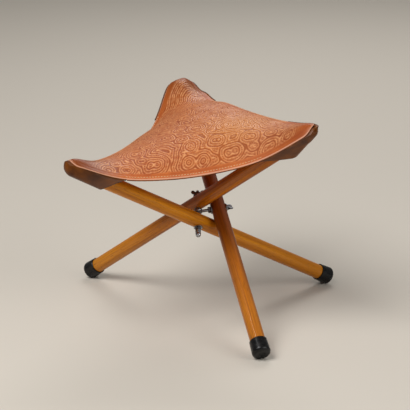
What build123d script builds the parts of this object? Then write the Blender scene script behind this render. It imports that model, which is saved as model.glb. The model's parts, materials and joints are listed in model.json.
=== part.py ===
from build123d import *
import math
import os

os.makedirs("parts", exist_ok=True)

# A folding tripod stool: three round dowel legs cross at a bolted hub and carry a triangular
# leather seat by three pockets. Millimetres, +Z up, the floor at Z zero.
# The corners are named as seen from the front: left, right and back.

# Legs
leg_diameter = 27.0
dowel_length = 609.0
dowel_end_round = 4.0
dowel_foot_chamfer = 1.0
hub_hole_from_foot = 323.0
hub_height = 186.0

# Rubber ferrules with a steel disc inside
ferrule_wall = 3.0
ferrule_floor = 7.5
ferrule_height = 29.0
ferrule_edge_radius = 6.0
ferrule_rim_taper = 0.9
ferrule_rim_round = 0.6
ferrule_fit = 0.05
tread_recess_radius = 6.0
tread_recess_depth = 1.0
disc_thickness = 1.5
contact_flat = 0.5

# Hub: one main bolt through the left and right legs, one eye bolt through the back leg
bolt_diameter = 6.0
bolt_azimuth = 90.4
bolt_elevation = 43.0
bolt_tail = 3.5
running_clearance = 0.1
thread_clearance = 0.08
seating_gap = 0.05
washer_radius = 8.0
eye_washer_radius = 6.0
washer_thickness = 1.2
eye_hole_diameter = 7.8
eye_wire_diameter = 5.4
eye_neck_length = 9.4
eye_bearing = 184.0
eye_tilt = 11.3
nut_across_flats = 10.0
nut_height = 5.0
nut_chamfer = 0.8
cap_nut_height = 14.0
cap_skirt_height = 6.0
cap_dome_radius = 4.8
cap_bore_depth = 8.0
cap_end_gap = 0.6

# Wing nuts
wing_boss_radius = 5.6
wing_boss_top_radius = 4.4
wing_boss_height = 6.5
wing_span = 24.0
wing_rise = 10.5
wing_thickness = 2.2
wing_root_radius = 2.4
wing_ear_radius = 3.4
wing_edge_round = 0.5

# Seat leather
panel_thickness = 2.5
corner_overhang = 2.5
left_tip_past_leg = -4.0
right_tip_past_leg = 12.0
back_tip_past_leg = 5.0
strip_thickness = 1.4
strip_width = 15.0
strip_gap = 0.1
strip_inset = 0.8
strip_end_gap = 3.0
left_corner_rise = 2.4
right_corner_rise = 0.6
back_corner_rise = 6.5
front_edge_sag = 31.8
right_edge_sag = 0.9
left_edge_sag = 29.0
centre_lift = 31.5
ridge_cover = 6.3
ridge_half_width = 18.3
ridge_spread_share = 0.35
ridge_fade = 50.6
tip_soften = 8.0
tip_fall_share = 0.72
tip_fall_start = 4.0
grid_step = 11.0
grid_margin = 24.0

# Places where a pocket mouth pulls the free edge down or its corner lifts it:
# corner, the corner that the edge runs to, distance along the edge, drop, spread
edge_pulls = (
    ("back", "left", 123.6, 8.8, 22.0),
    ("right", "left", 88.0, 8.4, 44.0),
    ("left", "right", 83.0, 3.1, 34.0),
    ("back", "right", 85.0, 8.7, 24.0),
    ("back", "left", 42.0, -35.6, 22.0),
)

# Corner pockets: the length is at the seat's edges, and the mouth slants back to a shorter underside
pocket_thickness = 2.0
pocket_fit = 0.5
left_pocket_length = 70.0
right_pocket_length = 54.0
back_pocket_length = 60.0
left_mouth_slant = 4.0
right_mouth_slant = 20.0
back_mouth_slant = 10.0
left_pocket_slack = 0.5
right_pocket_slack = 6.0
back_pocket_slack = 3.0
pocket_end_past_leg = 2.5
pocket_gap = 0.3
pocket_inset = 0.4

leg_radius = leg_diameter / 2
bolt_radius = bolt_diameter / 2
eye_wire_radius = eye_wire_diameter / 2
eye_ring_radius = eye_hole_diameter / 2 + eye_wire_radius
corner_radius = leg_radius + corner_overhang
ridge_height = leg_radius + ridge_cover
overrun = leg_diameter
wall_overrun = 2.0
halvings = 24
corner_names = ("left", "right", "back")
tips_past_legs = (left_tip_past_leg, right_tip_past_leg, back_tip_past_leg)
corner_rises = (left_corner_rise, right_corner_rise, back_corner_rise)
edge_sags = (front_edge_sag, right_edge_sag, left_edge_sag)
pocket_lengths = (left_pocket_length, right_pocket_length, back_pocket_length)
mouth_slants = (left_mouth_slant, right_mouth_slant, back_mouth_slant)
pocket_slacks = (left_pocket_slack, right_pocket_slack, back_pocket_slack)
UP = Vector(0, 0, 1)


def unit(bearing, rise):
    """Direction with a compass bearing from +X and a rise above the floor, in degrees."""
    level = math.cos(math.radians(rise))
    across = math.cos(math.radians(bearing))
    along = math.sin(math.radians(bearing))
    return Vector(level * across, level * along, math.sin(math.radians(rise)))


def place(origin, direction, across=None):
    """Location whose Z axis points along a direction."""
    if across is None:
        return Plane(origin=origin, z_dir=direction).location
    return Plane(origin=origin, x_dir=across, z_dir=direction).location


def rod(origin, direction, radius, length):
    """Round bar that starts at a point and runs along a direction."""
    bar = Cylinder(radius, length, align=(Align.CENTER, Align.CENTER, Align.MIN))
    return place(origin, direction) * bar


# Hub directions. The main bolt slopes up to the back. The eye bolt's shank leaves it sideways and may tilt
# a little, because its eye is loose between the washers.
bolt_way = unit(bolt_azimuth, bolt_elevation)
level_way = Vector(0, 0, 1).cross(bolt_way).normalized()
steep_way = bolt_way.cross(level_way)
if steep_way.Z < 0:
    steep_way = steep_way * -1
bearing = math.radians(eye_bearing)
tilt = math.radians(eye_tilt)
square_way = level_way * math.cos(bearing) + steep_way * math.sin(bearing)
eye_way = square_way * math.cos(tilt) + bolt_way * math.sin(tilt)

# Stack along each bolt, from the middle of the eye outwards
eye_half_space = eye_ring_radius * math.sin(tilt) + eye_wire_radius
leg_offset = eye_half_space + washer_thickness + leg_radius + 2 * seating_gap
eye_outer = eye_ring_radius + eye_wire_radius
eye_offset = eye_outer + eye_neck_length + nut_height + washer_thickness + leg_radius + 2 * seating_gap
hub = Vector(0, 0, hub_height)
pins = (hub - bolt_way * leg_offset, hub + bolt_way * leg_offset, hub + eye_way * eye_offset)

# Each foot stands on the round edge of its ferrule. With the edge's circle a given way down the leg, the
# leg's slope follows from the height of its pin.
foot_stack = disc_thickness + ferrule_floor
edge_circle_way = hub_hole_from_foot + foot_stack - ferrule_edge_radius
edge_circle_radius = leg_radius + ferrule_wall - ferrule_edge_radius
foot_reach = math.hypot(edge_circle_way, edge_circle_radius)
foot_angle = math.atan2(edge_circle_radius, edge_circle_way)


def leg_rise(pin):
    """Sine of a leg's rise above the floor, from the height of its pin."""
    height = pin.Z + contact_flat - ferrule_edge_radius
    return math.cos(foot_angle + math.acos(height / foot_reach))


def crossing_way(pin, side):
    """Way of a leg that turns about the main bolt, to the left with side 1 and right with side -1."""
    turn = math.acos(leg_rise(pin) / steep_way.Z)
    return steep_way * math.cos(turn) + level_way * (side * math.sin(turn))


def back_way(pin):
    """Way of the leg that turns about the eye bolt's shank."""
    first = (bolt_way - eye_way * bolt_way.dot(eye_way)).normalized()
    second = eye_way.cross(first)
    phase = math.atan2(second.Z, first.Z)
    swing = math.acos(leg_rise(pin) / math.hypot(first.Z, second.Z))
    turn = min((phase + swing, phase - swing), key=abs)
    return first * math.cos(turn) + second * math.sin(turn)


left_side = 1 if level_way.X < 0 else -1
ways = (crossing_way(pins[0], left_side), crossing_way(pins[1], -left_side), back_way(pins[2]))
pin_ways = (bolt_way, bolt_way, eye_way)
dowel_feet = [pin - way * hub_hole_from_foot for pin, way in zip(pins, ways)]
leg_tops = [foot + way * dowel_length for foot, way in zip(dowel_feet, ways)]
ferrule_ends = [foot - way * foot_stack for foot, way in zip(dowel_feet, ways)]


def make_leg(index):
    """Round dowel, rounded at the top, chamfered at the foot, with one cross hole at the hub."""
    bar = Cylinder(leg_radius, dowel_length, align=(Align.CENTER, Align.CENTER, Align.MIN))
    rims = bar.edges().filter_by(GeomType.CIRCLE).sort_by(Axis.Z)
    bar = fillet(rims[-1], dowel_end_round)
    rims = bar.edges().filter_by(GeomType.CIRCLE).sort_by(Axis.Z)
    bar = chamfer(rims[0], dowel_foot_chamfer)
    leg = place(dowel_feet[index], ways[index]) * bar
    start = pins[index] - pin_ways[index] * leg_diameter
    return leg - rod(start, pin_ways[index], bolt_radius + running_clearance, 2 * leg_diameter)


def make_ferrule(index):
    """Moulded rubber cup with a round-edged foot, cut flat where it stands on the floor."""
    outer = leg_radius + ferrule_wall
    inner = leg_radius + ferrule_fit
    rim = outer - ferrule_rim_taper
    edge = ferrule_edge_radius
    turn = edge * math.sqrt(0.5)
    recess = tread_recess_radius
    with BuildSketch(Plane.XZ) as section:
        with BuildLine():
            Line((0, tread_recess_depth), (recess - tread_recess_depth, tread_recess_depth))
            Line((recess - tread_recess_depth, tread_recess_depth), (recess, 0))
            Line((recess, 0), (outer - edge, 0))
            ThreePointArc((outer - edge, 0), (outer - edge + turn, edge - turn), (outer, edge))
            Line((outer, edge), (rim, ferrule_height - ferrule_rim_round))
            Line((rim, ferrule_height - ferrule_rim_round), (rim - ferrule_rim_round, ferrule_height))
            Line((rim - ferrule_rim_round, ferrule_height), (inner, ferrule_height))
            Line((inner, ferrule_height), (inner, ferrule_floor))
            Line((inner, ferrule_floor), (0, ferrule_floor))
            Line((0, ferrule_floor), (0, tread_recess_depth))
        make_face()
    cup = revolve(section.sketch, axis=Axis.Z)
    cup = place(ferrule_ends[index], ways[index]) * cup
    return split(cup, bisect_by=Plane.XY, keep=Keep.TOP)


def make_disc(index):
    """Steel disc that keeps the dowel from cutting through the rubber."""
    start = ferrule_ends[index] + ways[index] * ferrule_floor
    return rod(start, ways[index], leg_radius - ferrule_fit, disc_thickness)


def make_washer(centre, direction, radius=washer_radius):
    """Flat washer that starts at a point and runs along a direction."""
    ring = rod(centre, direction, radius, washer_thickness)
    start = centre - direction * washer_thickness
    return ring - rod(start, direction, bolt_radius + running_clearance, 3 * washer_thickness)


def make_wing_nut(base, direction, across):
    """Wing nut: a tapered boss with two rounded ears that stand up and out, bored for its bolt."""
    with BuildSketch(Plane.XZ) as half:
        with BuildLine():
            Polyline(
                (0, 0),
                (wing_boss_radius, 0),
                (wing_boss_top_radius, wing_boss_height),
                (0, wing_boss_height),
                (0, 0),
            )
        make_face()
    boss = revolve(half.sketch, axis=Axis.Z)
    root = (wing_boss_top_radius - wing_root_radius / 2, wing_root_radius)
    ear = (wing_span / 2 - wing_ear_radius, wing_rise - wing_ear_radius)
    nut = boss
    for side in (1, -1):
        with BuildSketch(Plane.XZ) as wing:
            with Locations((side * root[0], root[1])):
                Circle(wing_root_radius)
            with Locations((side * ear[0], ear[1])):
                Circle(wing_ear_radius)
            make_hull()
        blade = extrude(wing.sketch, amount=wing_thickness / 2, both=True)
        rims = blade.edges().filter_by(lambda edge: abs(edge.center().Y) > wing_thickness / 4)
        nut = nut + fillet(rims, wing_edge_round)
    bore = Cylinder(bolt_radius + thread_clearance, 4 * wing_rise)
    return place(base, direction, across) * (nut - bore)


def make_main_bolt():
    """Main bolt: a plain stud from inside the cap nut to just past the wing nut."""
    start = hub - bolt_way * (cap_face + cap_bore_depth - cap_end_gap)
    length = cap_face + cap_bore_depth - cap_end_gap + nut_face + wing_boss_height + bolt_tail
    shank = rod(start, bolt_way, bolt_radius, length)
    return chamfer(shank.edges().filter_by(GeomType.CIRCLE), nut_chamfer)


def make_eye_bolt():
    """Eye bolt bent from wire: a ring round the main bolt, a neck and a thicker threaded shank."""
    normal = (bolt_way - eye_way * bolt_way.dot(eye_way)).normalized()
    ring = place(hub, normal, eye_way) * Torus(eye_ring_radius, eye_wire_radius)
    shank_start = eye_offset - leg_radius - washer_thickness - nut_height - 3 * seating_gap
    neck_length = shank_start - eye_ring_radius + bolt_radius
    neck = rod(hub + eye_way * eye_ring_radius, eye_way, eye_wire_radius, neck_length)
    length = eye_nut_face + wing_boss_height + bolt_tail - shank_start
    shank = rod(hub + eye_way * shank_start, eye_way, bolt_radius, length)
    tip = shank.edges().filter_by(GeomType.CIRCLE).sort_by(Axis(hub, eye_way))[-1]
    return ring + neck + chamfer(tip, nut_chamfer)


def hex_blank(height):
    """Hexagon bar with turned corners on both faces."""
    corner = nut_across_flats / 2 / math.cos(math.pi / 6)
    with BuildSketch(Plane.XZ) as half:
        with BuildLine():
            Polyline(
                (0, 0),
                (corner - nut_chamfer, 0),
                (corner, nut_chamfer / 2),
                (corner, height - nut_chamfer / 2),
                (corner - nut_chamfer, height),
                (0, height),
                (0, 0),
            )
        make_face()
    return extrude(RegularPolygon(corner, 6), height) & revolve(half.sketch, axis=Axis.Z)


def make_hex_nut(base, direction):
    """Hexagon nut, bored for its bolt."""
    bore = Cylinder(bolt_radius + thread_clearance, 4 * nut_height)
    return place(base, direction) * (hex_blank(nut_height) - bore)


def make_cap_nut(base, direction):
    """Hexagon nut closed by a dome, with a blind bore."""
    upright = (Align.CENTER, Align.CENTER, Align.MIN)
    neck_height = cap_nut_height - cap_dome_radius
    dome = Cylinder(cap_dome_radius, neck_height, align=upright)
    dome = dome + Pos(0, 0, neck_height) * Sphere(cap_dome_radius)
    bore = Cylinder(bolt_radius + thread_clearance, cap_bore_depth, align=upright)
    return place(base, direction) * (hex_blank(cap_skirt_height) + dome - bore)


# Faces of the stack, measured from the middle of the hub along each bolt
head_face = leg_offset + leg_radius + washer_thickness + 2 * seating_gap
nut_face = head_face
cap_face = head_face + nut_height + seating_gap
eye_nut_face = eye_offset + leg_radius + washer_thickness + 2 * seating_gap

# Seat plan: a triangle with a round corner over each leg top
tips = [top + way * past for top, way, past in zip(leg_tops, ways, tips_past_legs)]
tip_heights = [tip.Z + rise for tip, rise in zip(tips, corner_rises)]
plan_tips = [Vector(tip.X, tip.Y, 0) for tip in tips]
plan_centre = (plan_tips[0] + plan_tips[1] + plan_tips[2]) * (1 / 3)


def outward(start, end):
    """Level way square to an edge of the seat, pointing away from the seat's middle."""
    side = (end - start).cross(UP).normalized()
    return side * -1 if side.dot(plan_centre - start) > 0 else side


def corner_way(index):
    """Level way into the seat from a corner, between its leg and the seat's middle."""
    along_leg = Vector(-ways[index].X, -ways[index].Y, 0).normalized()
    to_middle = (plan_centre - plan_tips[index]).normalized()
    return (along_leg + to_middle).normalized()


def soft_ramp(value, softness):
    """Ramp that is nearly zero below zero and nearly the value above it."""
    return softness * math.log1p(math.exp(value / softness))


corner_ways = [corner_way(index) for index in range(3)]
pull_centres = []
for first_name, second_name, reach, drop, spread in edge_pulls:
    start = plan_tips[corner_names.index(first_name)]
    end = plan_tips[corner_names.index(second_name)]
    rim = outward(start, end) * corner_radius
    pull_centres.append(start + (end - start).normalized() * reach + rim)


def shares(spot):
    """Shares of the three corners at a plan point, which add up to one."""
    first = plan_tips[1] - plan_tips[0]
    second = plan_tips[2] - plan_tips[0]
    away = spot - plan_tips[0]
    area = first.X * second.Y - second.X * first.Y
    right = (away.X * second.Y - second.X * away.Y) / area
    back = (first.X * away.Y - away.X * first.Y) / area
    return 1 - right - back, right, back


def seat_height(spot):
    """Height of the leather's top at a plan point: a hanging triangle with a ridge over each leg top."""
    part = shares(spot)
    height = sum(share * tip for share, tip in zip(part, tip_heights))
    for index, sag in enumerate(edge_sags):
        height -= 4 * sag * part[index] * part[(index + 1) % 3]
    height += 27 * centre_lift * part[0] * part[1] * part[2]
    for tip, way in zip(plan_tips, corner_ways):
        away = spot - tip
        along = away.dot(way)
        across = away.dot(UP.cross(way))
        inside = soft_ramp(along, tip_soften)
        width = ridge_half_width + ridge_spread_share * inside
        height += ridge_height * math.exp(-inside / ridge_fade) / (1 + (across / width) ** 2)
        height -= tip_fall_share * soft_ramp(-along - tip_fall_start, tip_soften)
    for centre, pull in zip(pull_centres, edge_pulls):
        drop, spread = pull[3:]
        away = spot - centre
        height -= drop * math.exp(-away.dot(away) / (2 * spread**2))
    return height


def make_seat_surface():
    """Smooth surface of the leather's top over a rectangle round the seat's plan."""
    low = Vector(min(tip.X for tip in plan_tips), min(tip.Y for tip in plan_tips))
    high = Vector(max(tip.X for tip in plan_tips), max(tip.Y for tip in plan_tips))
    columns = math.ceil((high.X - low.X + 2 * grid_margin) / grid_step)
    rows = math.ceil((high.Y - low.Y + 2 * grid_margin) / grid_step)
    net = []
    for column in range(columns + 1):
        line = []
        for row in range(rows + 1):
            x = low.X - grid_margin + column * (high.X - low.X + 2 * grid_margin) / columns
            y = low.Y - grid_margin + row * (high.Y - low.Y + 2 * grid_margin) / rows
            line.append(Vector(x, y, seat_height(Vector(x, y, 0))))
        net.append(line)
    return Face.make_surface_from_array_of_points(net)


def layer(surface, depth, thickness):
    """Slab of leather whose top lies a depth below the seat's top."""
    return Solid.extrude(Pos(0, 0, -depth) * surface, Vector(0, 0, -thickness))


def plan_outline(inset):
    """Seat outline in plan: three straight edges joined by round corners."""
    radius = corner_radius - inset
    lines = []
    for index in range(3):
        here = plan_tips[index]
        after = plan_tips[(index + 1) % 3]
        before = plan_tips[(index + 2) % 3]
        out_before = outward(before, here) * radius
        out_after = outward(here, after) * radius
        middle = (out_before + out_after).normalized() * radius
        lines.append(ThreePointArc(here + out_before, here + middle, here + out_after))
        lines.append(Line(here + out_after, after + out_after))
    return Face(Wire(lines))


def prism(face, height):
    """Upright block over a plan face."""
    return Solid.extrude(face, Vector(0, 0, height))


def leg_frame(index):
    """Ways along a leg in plan, level across it, and up square to it."""
    along = Vector(-ways[index].X, -ways[index].Y, 0).normalized()
    across = UP.cross(along)
    lift = ways[index].cross(across)
    return along, across, lift if lift.Z > 0 else lift * -1


def edge_spot(index, other, way_down):
    """Distance along a free edge, and the point under it, that lie square to a point down the leg."""
    along, across, lift = leg_frame(index)
    here = plan_tips[index]
    edge = (plan_tips[other] - here).normalized()
    rim = here + outward(here, plan_tips[other]) * corner_radius
    centre = leg_tops[index] - ways[index] * way_down
    low = 0
    high = (plan_tips[other] - here).length
    for halving in range(halvings):
        run = (low + high) / 2
        spot = rim + edge * run
        spot = Vector(spot.X, spot.Y, seat_height(Vector(spot.X, spot.Y, 0)) - panel_thickness)
        if (spot - centre).dot(ways[index]) > 0:
            low = run
        else:
            high = run
    return run, spot


def make_strip(index, under_layer):
    """Strip of leather under a free edge, between the mouths of two pockets."""
    start = plan_tips[index]
    end = plan_tips[(index + 1) % 3]
    way = (end - start).normalized()
    out = outward(start, end)
    after = (index + 1) % 3
    first = start + way * (edge_spot(index, after, pocket_lengths[index])[0] + strip_end_gap)
    last = end - way * (edge_spot(after, index, pocket_lengths[after])[0] + strip_end_gap)
    first = first + out * (corner_radius - strip_inset)
    last = last + out * (corner_radius - strip_inset)
    corners = [first, last, last - out * strip_width, first - out * strip_width]
    band = Face(Wire.make_polygon(corners, close=True))
    return prism(band, 2 * hub_height + overrun * 4) & under_layer


def tangent_point(centre_drop, radius, spot, side):
    """Point where a line from a spot touches the underside of a circle round the leg."""
    away_x = spot[0]
    away_y = spot[1] + centre_drop
    distance = max(math.hypot(away_x, away_y), radius)
    angle = math.atan2(away_y, away_x) - side * math.acos(radius / distance)
    return radius * math.cos(angle), radius * math.sin(angle) - centre_drop


def pocket_section(index, way_down, skin):
    """Section of a pocket across its leg: from one seat edge, round under the leg, to the other edge."""
    along, across, lift = leg_frame(index)
    centre = leg_tops[index] - ways[index] * way_down
    slack = pocket_slacks[index] * max(way_down, 0) / pocket_lengths[index]
    radius = leg_radius + pocket_fit + slack + pocket_thickness - skin
    here = plan_tips[index]
    ends = []
    others = sorted(
        ((index + 1) % 3, (index + 2) % 3),
        key=lambda other: -(plan_tips[other] - here).dot(across),
    )
    for side, other in zip((1, -1), others):
        away = edge_spot(index, other, way_down)[1] - centre
        target = (away.dot(across), away.dot(lift) + skin)
        touch = tangent_point(slack, radius, target, side)
        end = [near + (far - near) * wall_overrun for near, far in zip(touch, target)]
        ends.append((touch, tuple(end)))
    (touch_a, end_a), (touch_b, end_b) = ends
    bottom = (0, -radius - slack)
    plane = Plane(origin=centre, x_dir=across, z_dir=across.cross(lift))
    with BuildSketch(plane) as section:
        with BuildLine():
            Line(end_b, touch_b)
            ThreePointArc(touch_b, bottom, touch_a)
            Line(touch_a, end_a)
            Line(end_a, end_b)
        make_face()
    return section.sketch.faces()[0]


def mouth_cut(index):
    """Block beyond a pocket's mouth, on the flat through its edge spots and its underside's end."""
    lift = leg_frame(index)[2]
    length = pocket_lengths[index]
    base = leg_tops[index] - ways[index] * (length - mouth_slants[index])
    low = base - lift * (leg_radius + pocket_fit + pocket_thickness + 2 * pocket_slacks[index])
    sides = [edge_spot(index, (index + step) % 3, length)[1] - low for step in (1, 2)]
    normal = sides[0].cross(sides[1]).normalized()
    if normal.dot(ways[index]) > 0:
        normal = normal * -1
    block = Box(8 * overrun, 8 * overrun, 8 * overrun, align=(Align.CENTER, Align.CENTER, Align.MIN))
    return place(low, normal) * block


def make_pocket(index, surface):
    """Leather pocket under a corner: a sling round the leg top, closed at the tip."""
    length = pocket_lengths[index]
    far = -max(tips_past_legs[index], 0) - pocket_end_past_leg
    stations = (far, length / 3, length + wall_overrun * pocket_thickness)
    outer = loft([pocket_section(index, station, 0) for station in stations], ruled=True)
    stations = (pocket_thickness + far, length / 3, length + overrun)
    inner = loft([pocket_section(index, station, pocket_thickness) for station in stations], ruled=True)
    above = layer(surface, panel_thickness + pocket_gap - 8 * overrun, 8 * overrun)
    inside = prism(plan_outline(pocket_inset), 2 * hub_height + 4 * overrun)
    return (outer - inner - above - mouth_cut(index)) & inside


surface = make_seat_surface()
parts = {}
for index, name in enumerate(corner_names):
    parts[f"leg_{name}"] = make_leg(index)
    parts[f"ferrule_{name}"] = make_ferrule(index)
    parts[f"ferrule_disc_{name}"] = make_disc(index)
    parts[f"pocket_{name}"] = make_pocket(index, surface)
parts["main_bolt"] = make_main_bolt()
parts["eye_bolt"] = make_eye_bolt()
inner_face = eye_half_space + seating_gap
parts["head_washer"] = make_washer(hub - bolt_way * (leg_offset + leg_radius + seating_gap), bolt_way * -1)
parts["eye_washer_lower"] = make_washer(hub - bolt_way * inner_face, bolt_way * -1, eye_washer_radius)
parts["eye_washer_upper"] = make_washer(hub + bolt_way * inner_face, bolt_way, eye_washer_radius)
parts["main_lock_nut"] = make_hex_nut(hub - bolt_way * head_face, bolt_way * -1)
parts["main_cap_nut"] = make_cap_nut(hub - bolt_way * cap_face, bolt_way * -1)
parts["nut_washer"] = make_washer(hub + bolt_way * (leg_offset + leg_radius + seating_gap), bolt_way)
parts["main_wing_nut"] = make_wing_nut(hub + bolt_way * nut_face, bolt_way, level_way)
inner_stack = eye_offset - leg_radius - seating_gap
parts["eye_inner_washer"] = make_washer(hub + eye_way * (inner_stack - washer_thickness), eye_way)
nut_base = inner_stack - washer_thickness - nut_height - seating_gap
parts["eye_inner_nut"] = make_hex_nut(hub + eye_way * nut_base, eye_way)
parts["eye_outer_washer"] = make_washer(hub + eye_way * (eye_offset + leg_radius + seating_gap), eye_way)
eye_across = UP.cross(eye_way).normalized()
parts["eye_wing_nut"] = make_wing_nut(hub + eye_way * eye_nut_face, eye_way, eye_across)
panel_block = prism(plan_outline(0), 2 * hub_height + 4 * overrun)
parts["seat_panel"] = panel_block & layer(surface, 0, panel_thickness)
under = layer(surface, panel_thickness + strip_gap, strip_thickness)
for index, name in enumerate(("front", "right", "left")):
    parts[f"edge_strip_{name}"] = make_strip(index, under)

# Origin at the middle of the footprint, on the floor
whole = Compound(children=[Compound(part.solids()) for part in parts.values()])
box = whole.bounding_box()
shift = Vector(-(box.min.X + box.max.X) / 2, -(box.min.Y + box.max.Y) / 2, 0)
for name, part in parts.items():
    solids = part.solids()
    moved = [Pos(shift.X, shift.Y, shift.Z) * solid for solid in solids]
    export_step(moved[0] if len(moved) == 1 else Compound(children=moved), f"parts/{name}.step")

# The fold brings the three legs side by side, square to both bolts
fold_way = bolt_way.cross(eye_way).normalized()
if fold_way.dot(ways[0]) < 0:
    fold_way = fold_way * -1


def turn_about(start, end, axis):
    """Signed angle in degrees from one way to another about an axis."""
    return math.degrees(math.atan2(start.cross(end).dot(axis), start.dot(end)))


print("size", box.size, "shift", shift)
for name, pin, way, axis, end in zip(corner_names, pins, ways, pin_ways, ferrule_ends):
    rest = end + way * ferrule_edge_radius
    out = (UP * -1 + way * way.Z).normalized()
    rest = rest + out * edge_circle_radius
    print("leg", name, "pin", pin + shift, "axis", axis, "fold", turn_about(way, fold_way, axis))
    print("rest", name, rest + shift, "way", way)
print("hub", hub + shift, "main bolt", bolt_way, "eye bolt", eye_way)
print("main wing nut", hub + bolt_way * nut_face + shift)
print("eye wing nut", hub + eye_way * eye_nut_face + shift)
print("seat side lengths", [round((plan_tips[i] - plan_tips[(i + 1) % 3]).length, 1) for i in range(3)])
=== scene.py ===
import json
import math

import bpy
import numpy as np
from mathutils import Matrix, Vector


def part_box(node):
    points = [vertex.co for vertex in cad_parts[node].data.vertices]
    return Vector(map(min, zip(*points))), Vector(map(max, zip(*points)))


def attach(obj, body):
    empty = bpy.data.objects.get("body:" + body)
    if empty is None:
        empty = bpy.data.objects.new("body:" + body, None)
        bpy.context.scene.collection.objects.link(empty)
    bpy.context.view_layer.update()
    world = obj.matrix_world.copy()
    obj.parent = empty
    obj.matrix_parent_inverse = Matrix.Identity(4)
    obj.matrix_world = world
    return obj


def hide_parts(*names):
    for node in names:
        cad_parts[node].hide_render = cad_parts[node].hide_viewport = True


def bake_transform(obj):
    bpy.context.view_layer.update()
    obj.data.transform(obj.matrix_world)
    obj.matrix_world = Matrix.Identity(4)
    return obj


bl_info = {
    "name": "Folding Leather Tripod Stool",
    "version": (1, 0, 0),
    "blender": (4, 5, 0),
    "location": "View3D > Sidebar > Stool",
    "description": "Dresses a folding tripod stool: varnished legs and a tooled leather seat",
    "category": "Add Mesh",
}

# The frame and the box of its solids come before anything is added or hidden
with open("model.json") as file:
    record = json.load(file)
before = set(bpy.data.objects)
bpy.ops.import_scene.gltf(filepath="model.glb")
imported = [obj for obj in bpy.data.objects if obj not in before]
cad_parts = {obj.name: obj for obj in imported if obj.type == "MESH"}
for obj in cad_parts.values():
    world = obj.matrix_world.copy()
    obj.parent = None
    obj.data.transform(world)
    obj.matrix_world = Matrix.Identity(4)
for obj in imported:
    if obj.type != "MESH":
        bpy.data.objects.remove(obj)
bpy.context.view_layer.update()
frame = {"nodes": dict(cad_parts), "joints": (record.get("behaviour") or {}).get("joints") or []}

MM = 0.001
UP = np.array((0.0, 0.0, 1.0))
CORNERS = ("left", "right", "back")
EDGE_HALVES = (
    ("front", 0, 1), ("front", 1, 0), ("right", 1, 2), ("right", 2, 1), ("left", 2, 0), ("left", 0, 2),
)

# Leg sizes, which place the leather round the leg tops
LEG_RADIUS = 13.5 * MM
TOP_FROM_PIN = 286 * MM
TIPS_PAST_LEGS = (-4 * MM, 12 * MM, 5 * MM)

# The seat's surface, within a few millimetres of its solid
CORNER_RADIUS = 16 * MM
CORNER_RISES = (2.4 * MM, 0.6 * MM, 7.5 * MM)
EDGE_SAGS = (31.8 * MM, 0.9 * MM, 29 * MM)
CENTRE_LIFT = 31.5 * MM
RIDGE_HEIGHT = 19.8 * MM
RIDGE_HALF_WIDTH = 18.3 * MM
RIDGE_SPREAD_SHARE = 0.35
RIDGE_FADE = 50.6 * MM
TIP_SOFTEN = 8 * MM
TIP_FALL_SHARE = 0.72
TIP_FALL_START = 4 * MM

# Pulls at the free edges: corner it is measured from, the other corner, distance, drop and spread
EDGE_PULLS = (
    (2, 0, 123.6 * MM, 8.8 * MM, 22 * MM),
    (1, 0, 84 * MM, 3 * MM, 36 * MM),
    (0, 1, 83 * MM, 3.1 * MM, 34 * MM),
    (2, 1, 85 * MM, 8.7 * MM, 24 * MM),
    (2, 0, 34 * MM, -31 * MM, 25 * MM),
    (2, 1, 27 * MM, 8 * MM, 15 * MM),
)

# The top sheet's corners are rounder than the pockets, which show past them
SHEET_RADII = (22 * MM, 22 * MM, 17 * MM)

# Corner pockets: the length is at the seat's edges, and the mouth slants back to a shorter underside
POCKET_LENGTHS = (70 * MM, 54 * MM, 60 * MM)
MOUTH_SLANTS = (4 * MM, 20 * MM, 10 * MM)
POCKET_SLACKS = (0.5 * MM, 6 * MM, 3 * MM)
POCKET_FIT = 0.5 * MM
SMALLEST_RADIUS = 0.3 * MM
NOSE_POWER = 1.4
NOSE_RISE_SHARE = 0.45
SEARCH_STEPS = 6

# Pocket edges: reach past the seat's edge, drop below its top, and the welts that turn in under the sheet
POCKET_LIPS = (1 * MM, 3.2 * MM, 3.5 * MM)
INNER_LIP = -0.6 * MM
OUTER_DROP = 0.3 * MM
SHEET_GAP = 0.5 * MM
WELT_WIDTH = 9 * MM
WELT_MOST_SHARE = 0.49
WELT_STEP = 1.5 * MM
WELT_DEPTHS = (0.3 * MM, 3 * MM)
MOUTH_RIM_SHARE = 0.04
POCKET_MAP_WIDTH = 120 * MM

# Strips: inset of the outer side, and depths of both faces below the seat's leather
STRIP_INSET = 0.6 * MM
STRIP_FACES = (0.1 * MM, 1.5 * MM)

# Stitches: shares of half the length with the share of the full thickness there
STITCH_RINGS = ((-1, 0.35), (-0.72, 1), (0.72, 1), (1, 0.35))
STITCH_LENGTH_SHARE = 0.66
STITCH_SIDES = 6
STITCH_FLATNESS = 0.8
STITCH_LIFT = 0.05 * MM
SLOPE_STEP = 0.5 * MM
THREAD_RADIUS = 0.5 * MM

# Points in the grids
PETAL_POINTS = 200
POCKET_COLUMNS = 96
WELT_COLUMNS = 6
NOSE_ROWS = 16
POCKET_ROWS = 60
STRIP_ROWS = 70
STRIP_COLUMNS = 12

# Least length that anything is divided by
TINY = 1e-6

# Rows of a petal: a slight shift towards the rim, and the last ones packed close along it
ROW_SHIFT = 0.006
RIM_ROWS = (0.991, 0.994, 0.996, 0.9976, 0.9988, 0.9996, 1)

# The photograph's view, measured from the hub, and its frame
CAMERA_FROM_HUB = (13 * MM, -3309.9 * MM)
CAMERA_HEIGHT = 1210.4 * MM
CAMERA_PITCH = math.radians(17)
CAMERA_ROLL = -0.0107
FOCAL_PIXELS = 1913.8
FRAME_PIXELS = 410
SENSOR_MM = 36
CLIP_END = 50

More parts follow.
